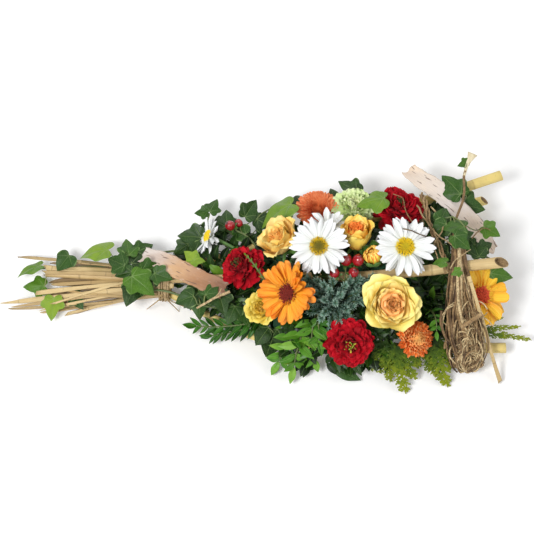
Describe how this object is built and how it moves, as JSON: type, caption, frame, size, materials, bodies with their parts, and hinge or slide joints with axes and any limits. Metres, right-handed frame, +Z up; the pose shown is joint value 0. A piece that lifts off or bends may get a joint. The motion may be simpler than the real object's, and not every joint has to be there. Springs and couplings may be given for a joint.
{
  "type": "cornucopia flower arrangement",
  "caption": "Autumn flower arrangement in the shape of a horn of plenty, with canes tied at the tail and fanned to an open mouth over foam that holds roses, daisies, gerberas and ivy",
  "frame": {"origin": "the centre of the tray's flat underside, on the surface that the arrangement lies on", "axes": "+X along the length of the horn, from its tied tail to its mouth; +Y to the back; +Z up"},
  "size_m": [0.6845, 0.3022, 0.1542],
  "materials": {
    "tray_plastic": "satin",
    "wet_foam": "matte",
    "cane": "satin",
    "split_reed": "satin",
    "raffia": "matte",
    "vine": "matte",
    "birch_bark": "matte",
    "ivy_leaf": "satin",
    "boxwood_leaf": "satin",
    "thuja_leaf": "matte",
    "juniper_leaf": "matte",
    "daisy_petal": "matte",
    "gerbera_orange_petal": "matte",
    "gerbera_yellow_petal": "matte",
    "rose_yellow_petal": "matte",
    "rose_apricot_petal": "matte",
    "zinnia_petal": "matte",
    "mum_petal": "matte",
    "carnation_petal": "matte",
    "berry_skin": "gloss"
  },
  "bodies": {
    "root": {"tray": "tray_plastic", "foam_brick": "wet_foam", "raffia_tie": "raffia", "cane_over_top": "cane", "cane_back_high": "cane", "cane_back_low": "cane", "cane_front": "cane", "tail_reed_back": "split_reed", "tail_reed_long": "split_reed", "tail_reed_side": "split_reed", "tail_reed_low": "split_reed", "tail_reed_short": "split_reed", "loose_reed": "split_reed", "bark_strip_left": "birch_bark", "bark_strip_right": "birch_bark", "vine_bundle": "vine", "grey_vine": "vine", "pale_tendril": "vine", "bare_twig": "vine", "woody_stub": "vine", "daisy_center": "daisy_petal", "daisy_right": "daisy_petal", "daisy_back": "daisy_petal", "daisy_side": "daisy_petal", "gerbera_left": "gerbera_orange_petal", "gerbera_right": "gerbera_yellow_petal", "rose_big": "rose_yellow_petal", "rose_apricot": "rose_apricot_petal", "rose_small": "rose_yellow_petal", "spray_rose": "rose_yellow_petal", "yellow_bud": "rose_yellow_petal", "zinnia_left": "zinnia_petal", "zinnia_back": "zinnia_petal", "zinnia_front": "zinnia_petal", "mum_back": "mum_petal", "mum_front": "mum_petal", "green_carnation": "carnation_petal", "hypericum_center": "berry_skin", "hypericum_left": "berry_skin", "juniper_sprig": "juniper_leaf", "boxwood_front": "boxwood_leaf", "boxwood_low": "boxwood_leaf", "boxwood_mid": "boxwood_leaf", "boxwood_back": "boxwood_leaf", "hebe_left": "boxwood_leaf", "thuja_front": "thuja_leaf", "thuja_front_right": "thuja_leaf", "thuja_right": "thuja_leaf", "thuja_back": "thuja_leaf", "broad_leaf_left": "ivy_leaf", "broad_leaf_front": "ivy_leaf", "ivy_tail_back": "ivy_leaf", "ivy_tail_front": "ivy_leaf", "ivy_left": "ivy_leaf", "ivy_back_left": "ivy_leaf", "ivy_back": "ivy_leaf", "ivy_back_mid": "ivy_leaf", "ivy_mouth_top": "ivy_leaf", "ivy_mouth_mid": "ivy_leaf", "ivy_under_cane": "ivy_leaf"}
  },
  "joints": []
}
